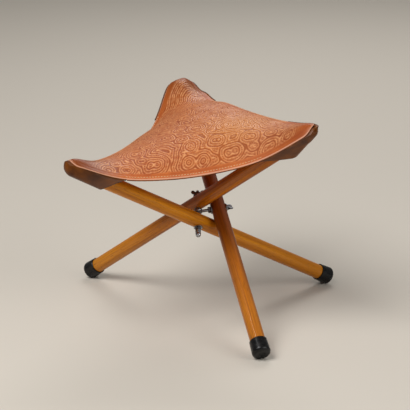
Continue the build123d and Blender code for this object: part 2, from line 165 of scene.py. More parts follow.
# The floor's half side in metres, and the lamps: name, place, size and the power that each uses
FLOOR_HALF = 12
LAMPS = (
    ("key_lamp", (-1.3, -1.2, 2.6), 1.6, "key_power"),
    ("fill_lamp", (2.2, -1.6, 1.6), 1.8, "fill_power"),
    ("back_lamp", (0.4, 2.4, 2.2), 1.4, "fill_power"),
)

# Leg finishes: material, pale and deep wood, wood at the foot, and pores. The pale and deep tones of the
# upper legs hold painted light and shade that differ from leg to leg, with painted shade and a painted
# reflection of the leather near the seat; the foot tones are nearer the wood's own colour.
LEG_FINISHES = (
    ("varnished_ash_amber", "#ee9a0e", "#b4680a", "#bb7110", "#4c260c"),
    ("varnished_ash_orange", "#cb740c", "#803c06", "#cc841c", "#46210b"),
    ("varnished_ash_brown", "#94460b", "#632804", "#cc7d1c", "#3a1b09"),
)


def linear(text):
    """Linear red, green, blue and alpha of an sRGB hex colour, by the sRGB transfer curve."""
    codes = [int(text[start : start + 2], 16) / 255 for start in (1, 3, 5)]
    return tuple(c / 12.92 if c <= 0.04045 else ((c + 0.055) / 1.055) ** 2.4 for c in codes) + (1.0,)


def unit(vector):
    """The vector divided by its length."""
    return vector / np.linalg.norm(vector)


def joint_named(name):
    """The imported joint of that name."""
    return next(joint for joint in frame["joints"] if joint["name"] == name)


def box_middle(node):
    """Middle of a node's box, which for a turned disc is its own middle."""
    low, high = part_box(node)
    return (np.array(low) + np.array(high)) / 2


# Each leg runs from the middle of its ferrule's disc through its pin
PINS = [np.array(joint_named(f"{name}_leg_fold")["pos_m"]) for name in CORNERS]
WAYS = [unit(pin - box_middle(f"ferrule_disc_{name}")) for pin, name in zip(PINS, CORNERS)]
LEG_TOPS = [pin + way * TOP_FROM_PIN for pin, way in zip(PINS, WAYS)]
TIPS = [top + way * past for top, way, past in zip(LEG_TOPS, WAYS, TIPS_PAST_LEGS)]
PLAN_TIPS = [tip[:2] for tip in TIPS]
PLAN_MIDDLE = sum(PLAN_TIPS) / 3
HUB = (PINS[0] + PINS[1]) / 2


def outward(start, end):
    """Level way square to a seat edge, pointing away from the seat's middle."""
    side = unit(np.array((end[1] - start[1], start[0] - end[0])))
    return -side if side @ (PLAN_MIDDLE - start) > 0 else side


def free_edge(index, other):
    """A free edge from its corner: the corner's plan place, and the level ways along and out of the edge."""
    here, there = PLAN_TIPS[index], PLAN_TIPS[other]
    return here, unit(there - here), outward(here, there)


def edge_middles(index):
    """Middles of the two free edges that meet at a corner, and the level ways out of them."""
    tips = [PLAN_TIPS[(index + step) % 3] for step in (2, 1)]
    outs = [outward(tip, PLAN_TIPS[index]) for tip in tips]
    return [(tip + PLAN_TIPS[index]) / 2 + out * CORNER_RADIUS for tip, out in zip(tips, outs)], outs


def soft_ramp(value, softness):
    """Ramp that is nearly zero below zero and nearly the value above it, softness times log(1 + e^(v/s))."""
    return softness * np.logaddexp(0, value / softness)


def shares(x, y):
    """Shares of the three corners at plan points, which add up to one."""
    first = PLAN_TIPS[1] - PLAN_TIPS[0]
    second = PLAN_TIPS[2] - PLAN_TIPS[0]
    area = first[0] * second[1] - second[0] * first[1]
    dx = x - PLAN_TIPS[0][0]
    dy = y - PLAN_TIPS[0][1]
    right = (dx * second[1] - second[0] * dy) / area
    back = (first[0] * dy - dx * first[1]) / area
    return 1 - right - back, right, back


def seat_height(x, y):
    """Height of the leather's top: a plane through the corners, less 4 times a sag times each pair of
    shares, plus 27 times a lift times all three, so that both are whole where the shares are equal, plus a
    bell-shaped ridge that fades away from each leg top, less a fall past each tip and bell-shaped pulls."""
    part = shares(x, y)
    height = sum(share * (tip[2] + rise) for share, tip, rise in zip(part, TIPS, CORNER_RISES))
    for index, sag in enumerate(EDGE_SAGS):
        height = height - 4 * sag * part[index] * part[(index + 1) % 3]
    height = height + 27 * CENTRE_LIFT * part[0] * part[1] * part[2]
    for tip, way in zip(PLAN_TIPS, WAYS):
        ahead = unit(unit(-way[:2]) + unit(PLAN_MIDDLE - tip))
        along = (x - tip[0]) * ahead[0] + (y - tip[1]) * ahead[1]
        across = (y - tip[1]) * ahead[0] - (x - tip[0]) * ahead[1]
        inside = soft_ramp(along, TIP_SOFTEN)
        width = RIDGE_HALF_WIDTH + RIDGE_SPREAD_SHARE * inside
        height = height + RIDGE_HEIGHT * np.exp(-inside / RIDGE_FADE) / (1 + (across / width) ** 2)
        height = height - TIP_FALL_SHARE * soft_ramp(-along - TIP_FALL_START, TIP_SOFTEN)
    for start, end, reach, drop, spread in EDGE_PULLS:
        here, way, out = free_edge(start, end)
        centre = here + way * reach + out * CORNER_RADIUS
        height = height - drop * np.exp(-((x - centre[0]) ** 2 + (y - centre[1]) ** 2) / (2 * spread**2))
    return height


def sheet_tip(index):
    """Middle of the top sheet's corner arc, moved in from the pocket's so that both meet the same edges."""
    here = PLAN_TIPS[index]
    first, second = [unit(PLAN_TIPS[(index + step) % 3] - here) for step in (1, 2)]
    inward = unit(first + second)
    return here + inward * (SHEET_RADII[index] - CORNER_RADIUS) / np.linalg.norm(first - second) * 2


SHEET_TIPS = [sheet_tip(index) for index in range(3)]


def edge_distance(x, y):
    """Distance in plan from the sheet's outline, inwards: the least distance from its three straight edges,
    and beside a corner's arc the arc's radius less the distance from the arc's middle."""
    edges = []
    for start, end in ((0, 1), (1, 2), (2, 0)):
        here, way, out = free_edge(start, end)
        edges.append(CORNER_RADIUS - (x - here[0]) * out[0] - (y - here[1]) * out[1])
    inside = np.min(edges, axis=0)
    for index, (tip, radius) in enumerate(zip(SHEET_TIPS, SHEET_RADII)):
        ways = [unit(PLAN_TIPS[(index + step) % 3] - PLAN_TIPS[index]) for step in (1, 2)]
        beyond = [(x - tip[0]) * way[0] + (y - tip[1]) * way[1] < 0 for way in ways]
        away = radius - np.hypot(x - tip[0], y - tip[1])
        inside = np.where(beyond[0] & beyond[1], np.minimum(inside, away), inside)
    return inside


# Medallions by plan place from the hub, radius and half the distance between their two eyes, in mm
MEDALLIONS = (
    (59, -38, 30, 11), (-3, -131, 28, 12), (60, -124, 20, 6), (125, -140, 19, 5), (-76, -128, 19, 6),
    (-123, -139, 14, 4), (-153, -143, 13, 2), (-52, 19, 20, 7), (-59, -44, 19, 8), (10, 137, 18, 0),
    (14, 23, 20, 6), (-10, -90, 17, 0), (157, -133, 15, 0), (-107, -85, 18, 5), (-2, -28, 16, 4),
    (93, -95, 18, 5), (33, -87, 15, 4), (-30, 78, 21, 6), (62, 40, 19, 5), (-96, -112, 12, 3),
    (-22, -108, 11, 3), (28, -134, 10, 2), (96, -122, 11, 3), (30, -52, 12, 4), (-28, -62, 13, 4),
    (-22, 44, 13, 4), (34, 74, 13, 4), (88, -58, 12, 3), (128, -104, 11, 3), (-8, 108, 12, 3),
    (-88, -58, 12, 4), (-140, -118, 11, 3), (38, -2, 12, 3), (-30, -16, 11, 3), (8, 164, 11, 2),
)
RING_PITCH = 4 * MM
SMALLEST_RING = 2 * MM
DEPTH_SHARE = 0.72
EYE_JOINT = 2.5 * MM
MEDALLION_JOINT = 2 * MM
LINE_POWER = 2.2
BEAD_PITCH = 3 * MM
BEAD_SHARE = 0.6

# The tooled field starts inside a plain border line and fades out over the leg tops
BORDER_INSET = 8.4 * MM
BORDER_WIDTH = 0.7 * MM
BORDER_SHARE = 0.7
FIELD_START = 11 * MM
FIELD_FADE = 2.5 * MM
TIP_CLEARS = (22 * MM, 8 * MM, 8 * MM)
TIP_FADE = 22 * MM

# Cut lines wander: a slow wave's length, start, swing and swing length, then a quick wave's two lengths
SLOW_WANDER = 1.7 * MM
QUICK_WANDER = 0.4 * MM
WANDER_X = (9 * MM, 0, 1.3, 29 * MM, 3.7 * MM, 7 * MM)
WANDER_Y = (8 * MM, 0.7, 1.1, 23 * MM, 4.1 * MM, -6 * MM)

# Rims and seam of the seat's leather
RIM_ROUNDING = 1 * MM
UNDERSIDE_ROUNDING_SHARE = 0.6
CREASE_DEPTH = 0.5 * MM
CREASE_WIDTH = 1 * MM

# Dye and painted sheen: pale rims, dark corners, and soft spots by plan place from the hub and spread in mm,
# and strength. The warmth spots are dye; the pinkish spots are a painted sheen, a painted highlight on the
# seat's top.
RIM_TONE_WIDTH = 1.6 * MM
CORNER_TONES = (0.95, 0.35, 0.8)
CORNER_TONE_REACH = 96 * MM
CORNER_TONE_FADE = 60 * MM
DYE_AND_SHEEN_SPOTS = {
    "warmth": (((75, -45), 62, 0.6),),
    "rose": (((-60, -40), 75, 0.55), ((105, -110), 50, 0.5)),
}


def wander(run, cross, waves):
    """A plan coordinate moved to and fro by two sines, as lines cut by hand wander."""
    slow, start, swing, far, quick, slant = waves
    moved = run + SLOW_WANDER * np.sin(cross / slow + start + swing * np.sin(run / far))
    return moved + QUICK_WANDER * np.sin(cross / quick + run / slant)


def tooling(x, y):
    """How deeply the leather is tooled and how much of it is a raised line, both 0 to 1. Lines follow the
    contours of the distance to two-eyed medallions, longer from front to back than across. Eyes and
    medallions are joined by smooth minima. Every other furrow is beaded, with whole beads to each turn."""
    px = x - HUB[0]
    py = y - HUB[1]
    wave_x = wander(px, py, WANDER_X)
    wave_y = wander(py, px, WANDER_Y)
    total = np.zeros_like(px)
    nearest = np.full_like(px, np.inf)
    angle = np.zeros_like(px)
    size = np.ones_like(px)
    for place_x, place_y, radius, eyes in MEDALLIONS:
        dx = wave_x - place_x * MM
        dy = (wave_y - place_y * MM) * DEPTH_SHARE
        pair = [np.hypot(dx + side * eyes * MM, dy) for side in (-1, 1)]
        reach = -EYE_JOINT * np.logaddexp(-pair[0] / EYE_JOINT, -pair[1] / EYE_JOINT)
        level = reach - (radius - eyes / 2) * MM
        total += np.exp(-level / MEDALLION_JOINT)
        closer = level < nearest
        nearest = np.where(closer, level, nearest)
        angle = np.where(closer, np.arctan2(dy, dx), angle)
        size = np.where(closer, radius * MM, size)
    phase = -MEDALLION_JOINT * np.log(total) / RING_PITCH
    band = np.floor(phase)
    line = (0.5 + 0.5 * np.cos(2 * np.pi * phase)) ** LINE_POWER
    turn = np.maximum(size + (band + 0.5) * RING_PITCH, SMALLEST_RING) * 2 * np.pi
    beads = 0.5 + 0.5 * np.cos(np.round(turn / BEAD_PITCH) * angle)
    beads = beads * np.clip(np.sin(np.pi * (phase - band)), 0, 1) ** 2 * (band % 2 == 0)
    raised = np.maximum(line, BEAD_SHARE * beads)
    inside = edge_distance(x, y)
    field = np.clip((inside - FIELD_START) / FIELD_FADE, 0, 1)
    for tip, clear in zip(PLAN_TIPS, TIP_CLEARS):
        field = field * np.clip((np.hypot(x - tip[0], y - tip[1]) - clear) / TIP_FADE, 0, 1)
    border = np.exp(-(((inside - BORDER_INSET) / BORDER_WIDTH) ** 2))
    return np.maximum(field * (1 - raised), BORDER_SHARE * border), field * raised


def outward_object(mesh):
    """Smoothly shaded object of a mesh of closed shells, with its faces turned outwards. The sign of the
    volume is that of the sum of each face's area times its middle's distance along its normal."""
    mesh.update()
    count = len(mesh.polygons)
    centre, normal, area = np.empty(count * 3), np.empty(count * 3), np.empty(count)
    mesh.polygons.foreach_get("center", centre)
    mesh.polygons.foreach_get("normal", normal)
    mesh.polygons.foreach_get("area", area)
    centre = centre.reshape(-1, 3) - centre.reshape(-1, 3).mean(axis=0)
    if ((centre * normal.reshape(-1, 3)).sum(axis=1) * area).sum() < 0:
        mesh.flip_normals()
    mesh.shade_smooth()
    obj = bpy.data.objects.new(mesh.name, mesh)
    bpy.context.scene.collection.objects.link(obj)
    return obj


def slab(name, outer, inner):
    """Object of a sheet from two equal grids of points, its outer and inner face, with walls that join their
    rims. Quads are laid over whole index arrays."""
    rows, columns = outer.shape[:2]
    points = np.concatenate([outer.reshape(-1, 3), inner.reshape(-1, 3)])
    index = np.arange(rows * columns).reshape(rows, columns)
    quads = np.stack([index[:-1, :-1], index[1:, :-1], index[1:, 1:], index[:-1, 1:]], -1).reshape(-1, 4)
    below = quads[:, ::-1] + rows * columns
    rim = np.concatenate([index[:, 0], index[-1, 1:], index[-2::-1, -1], index[0, -2:0:-1]])
    after = np.roll(rim, -1)
    wall = np.stack([rim, rim + rows * columns, after + rows * columns, after], -1)
    mesh = bpy.data.meshes.new(name)
    mesh.from_pydata(points, [], np.concatenate([quads, below, wall]))
    obj = outward_object(mesh)
    sharpen_rims(mesh, len(quads))
    return obj


def sharpen_rims(mesh, sheet_faces):
    """Marks the edges between the two faces of a slab and its walls as sharp, so that the faces shade
    smoothly up to the rim."""
    loops = np.empty(len(mesh.loops), int)
    mesh.loops.foreach_get("edge_index", loops)
    owner = np.repeat(np.arange(len(mesh.polygons)), 4) >= 2 * sheet_faces
    in_wall = np.zeros(len(mesh.edges), bool)
    in_wall[loops[owner]] = True
    in_sheet = np.zeros(len(mesh.edges), bool)
    in_sheet[loops[~owner]] = True
    sharp = mesh.attributes.new("sharp_edge", "BOOLEAN", "EDGE")
    sharp.data.foreach_set("value", in_wall & in_sheet)


def set_values(obj, name, outer, inner):
    """Stores one number for each point of a slab's outer and inner face under a name that materials read."""
    attribute = obj.data.attributes.new(name, "FLOAT", "POINT")
    values = np.stack([outer, np.broadcast_to(inner, outer.shape)])
    attribute.data.foreach_set("value", values.astype(np.float32).ravel())


def set_flat_map(obj, flat):
    """UV map of a slab's two faces in metres on the flat leather, from a pair of numbers for each point."""
    corner = np.empty(len(obj.data.loops), int)
    obj.data.loops.foreach_get("vertex_index", corner)
    layer = obj.data.uv_layers.new(name="flat")
    both = np.concatenate([flat.reshape(-1, 2)] * 2)
    layer.data.foreach_set("uv", both[corner].astype(np.float32).ravel())


def soft_spot(x, y, place, spread):
    """Bell-shaped share round a plan place, given in mm from the hub, that falls off over a spread in mm."""
    away = np.hypot(x - HUB[0] - place[0] * MM, y - HUB[1] - place[1] * MM)
    return np.exp(-((away / (spread * MM)) ** 2))


def petal_plan(index, count):
    """Plan points of one third of the seat, from the middle out to a corner: a Coons patch between two seams
    and two free edges, with rows close together along the free edges."""
    here = SHEET_TIPS[index]
    radius = SHEET_RADII[index]
    halves, outs = edge_middles(index)
    nose = unit(outs[0] + outs[1])
    share = np.linspace(0, 1, count)
    share = share + ROW_SHIFT * np.sin(np.pi * share) * share
    share[-len(RIM_ROWS):] = RIM_ROWS

    def rim_line(half, out):
        arc = math.acos(np.clip(nose @ out, -1, 1)) * radius
        end = here + out * radius
        straight = np.linalg.norm(end - half)
        run = share * (straight + arc)
        turn = np.clip((run - straight) / radius, 0, None)
        way = unit(end - half)
        line = half + np.clip(run, 0, straight)[:, None] * way
        bent = here + radius * (out * np.cos(turn)[:, None] + way * np.sin(turn)[:, None])
        return np.where((run < straight)[:, None], line, bent)

    top, right = [rim_line(half, out) for half, out in zip(halves, outs)]
    bottom = PLAN_MIDDLE + share[:, None] * (right[0] - PLAN_MIDDLE)
    left = PLAN_MIDDLE + share[:, None] * (top[0] - PLAN_MIDDLE)
    u = share[:, None, None]
    v = share[None, :, None]
    patch = (1 - v) * bottom[:, None] + v * top[:, None] + (1 - u) * left[None, :] + u * right[None, :]
    corners = (1 - u) * (1 - v) * PLAN_MIDDLE + u * (1 - v) * bottom[-1]
    corners = corners + (1 - u) * v * left[-1] + u * v * top[-1]
    return patch - corners


def follow_leg(obj):
    """Bakes a piece of the seat's placing into its mesh. The piece stays where it is and does not follow the
    hub or a leg."""
    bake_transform(obj)


def leg_frame(index):
    """Ways along a leg in plan, level across it, and up square to it."""
    along = unit(np.append(-WAYS[index][:2], 0))
    across = np.cross(UP, along)
    lift = np.cross(WAYS[index], across)
    return along, across, lift if lift[2] > 0 else -lift


def edge_spot(index, other, side, way_down, radius=CORNER_RADIUS):
    """Point over a free edge that lies square to each place down the leg, found in a few steps. Past the
    straight edge it goes round the corner's arc."""
    along, across, lift = leg_frame(index)
    here, edge, out = free_edge(index, other)
    rim = here + out * radius
    centre = LEG_TOPS[index] - WAYS[index] * way_down[:, None]
    base = centre.copy()
    for step in range(SEARCH_STEPS):
        run = ((base[:, :2] - rim) @ along[:2]) / (edge @ along[:2])
        straight = rim + edge * run[:, None]
        back = np.clip((base[:, :2] - here) @ along[:2], -radius, radius)
        sideways = side * np.sqrt(np.clip(radius**2 - back**2, 0, None))
        bent = here + along[:2] * back[:, None] + across[:2] * sideways[:, None]
        plan = np.where((run > 0)[:, None], straight, bent)
        height = seat_height(plan[:, 0], plan[:, 1])
        spot = np.column_stack([plan, height])
        base = centre + lift * ((spot - centre) @ lift)[:, None]
    return centre, spot


def nose_length(index, lip):
    """Distance past the leg's end, along the leg, of the section that holds the tip of a pocket."""
    plan = PLAN_TIPS[index] - leg_frame(index)[0][:2] * (CORNER_RADIUS + lip)
    tip = np.append(plan, seat_height(plan[0], plan[1]))
    return float((tip - LEG_TOPS[index]) @ WAYS[index])


def sling_section(index, way_down, column, wall, skin, lip, drop):
    """Points of a pocket across its leg, by place down the leg and column: 0 to 1 down the first wall from a
    seat edge to the leg, 1 to 2 round under the leg, and 2 to 3 up to the other edge. The arc grows by the
    slack towards the mouth. Past the leg's end it closes and rises with a power of the share of the nose,
    and both edges meet at its tip. Returns the lift values too."""
    across, lift = leg_frame(index)[1:]
    slack = POCKET_SLACKS[index] * np.clip(way_down, 0, None) / POCKET_LENGTHS[index]
    nose = np.clip(-way_down / nose_length(index, lip), 0, 1)
    closing = np.sqrt(np.clip(1 - nose**2, 0, None))
    radius = (LEG_RADIUS + POCKET_FIT + slack + wall) * closing - skin
    radius = np.clip(radius, SMALLEST_RADIUS, None)
    others = sorted(((index + 1) % 3, (index + 2) % 3),
                    key=lambda other: -((PLAN_TIPS[other] - PLAN_TIPS[index]) @ across[:2]))
    spots = []
    for side, other in zip((1, -1), others):
        centre, spot = edge_spot(index, other, side, way_down, CORNER_RADIUS + lip)
        spots.append(((spot - centre) @ across, (spot - centre) @ lift - drop))
    (ax, ay), (bx, by) = spots
    bed = slack - nose**NOSE_POWER * NOSE_RISE_SHARE * (ay + by)
    ends = []
    for side, (x, y) in zip((1, -1), spots):
        reach = np.maximum(np.hypot(x, y + bed), TINY)
        angle = np.arctan2(y + bed, x) - side * np.arccos(np.clip(radius / reach, 0, 1))
        ends.append(np.where(angle > side * math.pi / 2, angle - 2 * math.pi, angle))
    start, end = ends
    angles = start + (end - start) * np.clip(column - 1, 0, 1)
    arc_x = radius * np.cos(angles)
    arc_y = radius * np.sin(angles) - bed
    first = np.clip(1 - column, 0, 1)
    last = np.clip(column - 2, 0, 1)
    x = arc_x + (ax - arc_x) * first + (bx - arc_x) * last
    y = arc_y + (ay - arc_y) * first + (by - arc_y) * last
    return centre + across * x[:, None] + lift * y[:, None], y


def pocket_grid(index, rows, wall, skin, lip, drop):
    """Sling round a leg top. The mouth lies on a flat that slants back from the two edges to the underside,
    so each column has its own length. Both edges turn in as welts that step down under the sheet."""
    quarter = POCKET_COLUMNS // 4
    column = np.concatenate([
        np.linspace(0, 1, quarter, endpoint=False),
        np.linspace(1, 2, POCKET_COLUMNS - 2 * quarter),
        np.linspace(2, 3, quarter + 1)[1:],
    ])
    length = POCKET_LENGTHS[index]
    lifts = sling_section(index, np.full(POCKET_COLUMNS, length), column, wall, skin, lip, drop)[1]
    fall = lifts[0] + (lifts[-1] - lifts[0]) * column / 3 - lifts
    mouth = length - MOUTH_SLANTS[index] * np.clip(fall / fall.max(), 0, 1)
    way_down = np.where(rows[:, None] < 0, rows[:, None] * nose_length(index, lip), rows[:, None] * mouth)
    spread = np.broadcast_to(column, way_down.shape)
    points = sling_section(index, way_down.ravel(), spread.ravel(), wall, skin, lip, drop)[0]
    points = points.reshape(*way_down.shape, 3)
    gap = points[:, -1:, :2] - points[:, :1, :2]
    span = np.maximum(np.linalg.norm(gap, axis=-1, keepdims=True), TINY)
    step = gap * np.minimum(WELT_WIDTH / span, WELT_MOST_SHARE)
    share = np.linspace(0, 1, WELT_COLUMNS + 1)[1:, None]
    welts = []
    for plan in (points[:, :1, :2] + step * share[::-1], points[:, -1:, :2] - step * share):
        x, y = plan[..., 0], plan[..., 1]
        depth = np.interp(edge_distance(x, y), (-WELT_STEP, 0), WELT_DEPTHS) + skin
        welts.append(np.concatenate([plan, (seat_height(x, y) - depth)[..., None]], -1))
    points = np.concatenate([welts[0], points, welts[1]], axis=1)
    return points, np.pad(way_down, ((0, 0), (WELT_COLUMNS, WELT_COLUMNS)), mode="edge")


def mouth_run(index, other):
    """Distance along a free edge from its corner to the mouth of the pocket."""
    across = leg_frame(index)[1][:2]
    here, way = free_edge(index, other)[:2]
    side = 1 if (PLAN_TIPS[other] - here) @ across > (PLAN_MIDDLE - here) @ across else -1
    spot = edge_spot(index, other, side, np.array([POCKET_LENGTHS[index]]))[1][0]
    return float((spot[:2] - here) @ way)


def stitch_row(middle, way, out, length):
    """Points, edges and faces of a row of stitches, each a flattened roll of a few rings round its length
    that follows the leather's slope, with a face at both ends."""
    along, swell = np.array(STITCH_RINGS).T
    along = along * length / 2
    swell = swell * THREAD_RADIUS
    turn = np.linspace(0, 2 * np.pi, STITCH_SIDES, endpoint=False)
    ahead = middle + way * SLOPE_STEP
    low = seat_height(middle[:, 0], middle[:, 1])
    slope = (seat_height(ahead[:, 0], ahead[:, 1]) - low) / SLOPE_STEP
    run = np.broadcast_to(along[:, None], (len(middle), len(along), STITCH_SIDES))
    side = swell[:, None] * np.cos(turn)
    rise = swell[:, None] * np.sin(turn) * STITCH_FLATNESS + STITCH_LIFT
    plan = middle[:, None, None, :] + way * run[..., None] + out * side[..., None]
    height = low[:, None, None] + slope[:, None, None] * run + rise
    points = np.concatenate([plan, height[..., None]], -1).reshape(-1, 3)
    ring = np.arange(STITCH_SIDES)
    after = np.roll(ring, -1)
    walls = np.stack([ring, ring + STITCH_SIDES, after + STITCH_SIDES, after], -1)
    walls = np.concatenate([walls + STITCH_SIDES * level for level in range(len(along) - 1)])
    first = np.arange(len(middle)) * len(along) * STITCH_SIDES
    last = first + (len(along) - 1) * STITCH_SIDES
    quads = (walls + first[:, None, None]).reshape(-1, 4).tolist()
    caps = (first[:, None] + ring).tolist() + (last[:, None] + ring[::-1]).tolist()
    return points.tolist(), [], quads + caps


def add(tree, kind, values=None, **settings):
    """Adds a node, sets its settings, and fills its inputs with numbers, colours or links."""
    node = tree.nodes.new(kind)
    for key, value in settings.items():
        setattr(node, key, value)
    for key, value in (values or {}).items():
        if isinstance(value, bpy.types.NodeSocket):
            tree.links.new(value, node.inputs[key])
        else:
            node.inputs[key].default_value = value
    return node


def tint(tree, colour, tone, source, low=0, high=1, weakest=0, strongest=1):
    """Colour that turns to an sRGB tone, from the weakest to the strongest share, as a source goes from low
    to high. Map Range has its value and ends at 0 to 4, Mix its factor at 0 and its colours at 6 and 7."""
    part = add(tree, "ShaderNodeMapRange", {0: source, 1: low, 2: high, 3: weakest, 4: strongest}).outputs[0]
    return add(tree, "ShaderNodeMix", {0: part, 6: colour, 7: linear(tone)}, data_type="RGBA").outputs[2]


def every(size):
    """Texture scale of a pattern with a feature about every so many millimetres, one over its size."""
    return 1 / (size * MM)


def new_material(name):
    """Empty node material and its tree."""
    material = bpy.data.materials.new(name)
    material.use_nodes = True
    material.node_tree.nodes.clear()
    return material, material.node_tree


def finished(material, values):
    """The material with a surface of these values at its output."""
    tree = material.node_tree
    shader = add(tree, "ShaderNodeBsdfPrincipled", values)
    add(tree, "ShaderNodeOutputMaterial", {"Surface": shader.outputs[0]})
    return material


def varnished_wood(name, pale, deep, low, pore, index):
    """Varnished hardwood dowel: darker growth bands, long grain streaks along the leg, short pores, another
    tone towards the foot, and a clear gloss coat. The change of tone up the leg is painted light and shade,
    with painted shade and a painted reflection of the leather near the seat. Sizes are in mm across, across
    and along the leg. The pores are drawn about twice as wide as real ones, which are too fine to show."""
    material, tree = new_material(name)
    turn = Vector(WAYS[index]).rotation_difference(Vector((0, 0, 1))).to_euler()
    place = add(tree, "ShaderNodeTexCoord").outputs["Object"]
    lined = add(tree, "ShaderNodeMapping", {"Vector": place, "Rotation": turn}).outputs[0]
    grains = []
    for sizes, detail, distortion in (
        ((10.526, 14.286, 384.62), 3, 0.6),
        ((1.6129, 1.6129, 111.11), 4, 0),
        ((0.66667, 0.66667, 14.286), 1, 0),
    ):
        scale = [every(size) for size in sizes]
        spread = add(tree, "ShaderNodeMapping", {"Vector": lined, "Scale": scale}).outputs[0]
        values = {"Vector": spread, "Scale": 1, "Detail": detail, "Distortion": distortion}
        grains.append(add(tree, "ShaderNodeTexNoise", values).outputs[0])
    bands, streaks, pores = grains
    height = add(tree, "ShaderNodeSeparateXYZ", {0: place}).outputs[2]
    colour = tint(tree, linear(pale), deep, bands, 0.36, 0.66)
    # Painted light and shade along the leg: the upper leg's tones turn to the foot's tone lower down
    colour = tint(tree, colour, low, height, 0.2, 0.06, 0, 0.75)
    colour = tint(tree, colour, deep, streaks, 0.42, 0.7, 0, 0.5)
    colour = tint(tree, colour, pore, pores, 0.6, 0.74, 0, 0.55)
    bump = add(tree, "ShaderNodeBump", {"Height": streaks, "Strength": 0.12, "Distance": 0.2 * MM})
    return finished(material, {
        "Base Color": colour,
        "Roughness": 0.5,
        "Specular IOR Level": 0.1,
        "Coat Weight": 0.5,
        "Coat Roughness": 0.05,
        "Coat IOR": 1.5,
        "Normal": bump.outputs[0],
    })


def tooled_leather(name):
    """Vegetable-tanned cowhide, carved and waxed: orange-tan ground, red-brown dye in the furrows, raised
    lines worn pale, mottled dye, warm dye spots and a painted pinkish sheen in soft spots, pale burnished
    rims, and grain. The grain's cells of 1.1 mm are coarser than real ones, which are too fine to show."""
    material, tree = new_material(name)
    flat = add(tree, "ShaderNodeUVMap", uv_map="flat").outputs[0]
    mottle = {"Vector": flat, "Scale": every(41.667), "Detail": 6, "Roughness": 0.62}
    mottle = add(tree, "ShaderNodeTexNoise", mottle).outputs[0]
    worn = add(tree, "ShaderNodeTexNoise", {"Vector": flat, "Scale": every(6.6667), "Detail": 4}).outputs[0]
    worn = add(tree, "ShaderNodeMapRange", {0: worn, 1: 0.35, 2: 0.62, 3: 0.15, 4: 0.9}).outputs[0]
    colour = tint(tree, linear("#c1682f"), "#a64e20", mottle, 0.38, 0.64)
    for tone, most, hue in (
        # Painted pinkish sheen: a painted highlight in soft spots on the seat's top
        ("rose", 1, "#b56a4c"),
        ("warmth", 1, "#d08420"),
        ("corner", 1, "#7a3806"),
        ("tooling", 0.5, "#702c10"),
        ("raised", worn, "#dd9c68"),
        ("rim", 1, "#d9a183"),
    ):
        part = add(tree, "ShaderNodeAttribute", attribute_name=tone).outputs["Fac"]
        colour = tint(tree, colour, hue, part, strongest=most)
    grain = add(tree, "ShaderNodeTexVoronoi", {"Vector": flat, "Scale": every(1.1111)}).outputs[0]
    pebble = {"Vector": flat, "Scale": every(3.8462), "Detail": 4}
    pebble = add(tree, "ShaderNodeTexNoise", pebble).outputs[0]
    bump = add(tree, "ShaderNodeBump", {"Height": grain, "Strength": 0.12, "Distance": 0.25 * MM}).outputs[0]
    bump = {"Height": pebble, "Strength": 0.2, "Distance": 0.5 * MM, "Normal": bump}
    gloss = add(tree, "ShaderNodeMapRange", {0: mottle, 1: 0.3, 2: 0.7, 3: 0.36, 4: 0.5})
    return finished(material, {
        "Base Color": colour,
        "Roughness": gloss.outputs[0],
        "Specular IOR Level": 0.16,
        "Coat Weight": 0.04,
        "Coat Roughness": 0.2,
        "Normal": add(tree, "ShaderNodeBump", bump).outputs[0],
    })


def dark_leather(name):
    """Smooth dark bridle leather: patchy dark brown dye, dark cut rims, waxed to a low shine. The grain's
    cells of 0.9 mm are coarser than real ones, which are too fine to show."""
    material, tree = new_material(name)
    flat = add(tree, "ShaderNodeUVMap", uv_map="flat").outputs[0]
    patch = add(tree, "ShaderNodeTexNoise", {"Vector": flat, "Scale": every(28.571), "Detail": 5}).outputs[0]
    colour = tint(tree, linear("#4a2305"), "#7c430a", patch, 0.35, 0.68)
    rim = add(tree, "ShaderNodeAttribute", attribute_name="rim").outputs["Fac"]
    grain = add(tree, "ShaderNodeTexVoronoi", {"Vector": flat, "Scale": every(0.90909)}).outputs[0]
    bump = add(tree, "ShaderNodeBump", {"Height": grain, "Strength": 0.15, "Distance": 0.2 * MM}).outputs[0]
    bump = {"Height": patch, "Strength": 0.25, "Distance": 1 * MM, "Normal": bump}
    return finished(material, {
        "Base Color": tint(tree, colour, "#2c1a10", rim),
        "Roughness": 0.4,
        "Specular IOR Level": 0.18,
        "Coat Weight": 0.04,
        "Coat Roughness": 0.2,
        "Normal": add(tree, "ShaderNodeBump", bump).outputs[0],
    })


def waxed_thread(name):
    """Waxed linen thread: pale, with its twist drawn as bands of 1.5 mm. A wave texture repeats every fifth
    of pi over its scale."""
    material, tree = new_material(name)
    place = add(tree, "ShaderNodeTexCoord").outputs["Object"]
    wave = {"Vector": place, "Scale": 0.2 * math.pi * every(1.496), "Distortion": 1}
    twist = add(tree, "ShaderNodeTexWave", wave, bands_direction="DIAGONAL").outputs[1]
    colour = tint(tree, linear("#c9a878"), "#e8cfa4", twist)
    return finished(material, {"Base Color": colour, "Roughness": 0.6, "Sheen Weight": 0.2})


def moulded_rubber(name):
    """Moulded black rubber: near black, satin, with a faint bloom and fine grain."""
    material, tree = new_material(name)
    place = add(tree, "ShaderNodeTexCoord").outputs["Object"]
    bloom = {"Vector": place, "Scale": every(11.111), "Detail": 6}
    bloom = add(tree, "ShaderNodeTexNoise", bloom).outputs[0]
    gloss = add(tree, "ShaderNodeMapRange", {0: bloom, 1: 0.3, 2: 0.7, 3: 0.2, 4: 0.36})
    grain = add(tree, "ShaderNodeTexNoise", {"Vector": place, "Scale": every(0.625), "Detail": 2}).outputs[0]
    bump = add(tree, "ShaderNodeBump", {"Height": grain, "Strength": 0.08, "Distance": 0.1 * MM})
    return finished(material, {
        "Base Color": tint(tree, linear("#080809"), "#171616", bloom, 0.4, 0.75),
        "Roughness": gloss.outputs[0],
        "Specular IOR Level": 0.3,
        "Normal": bump.outputs[0],
    })


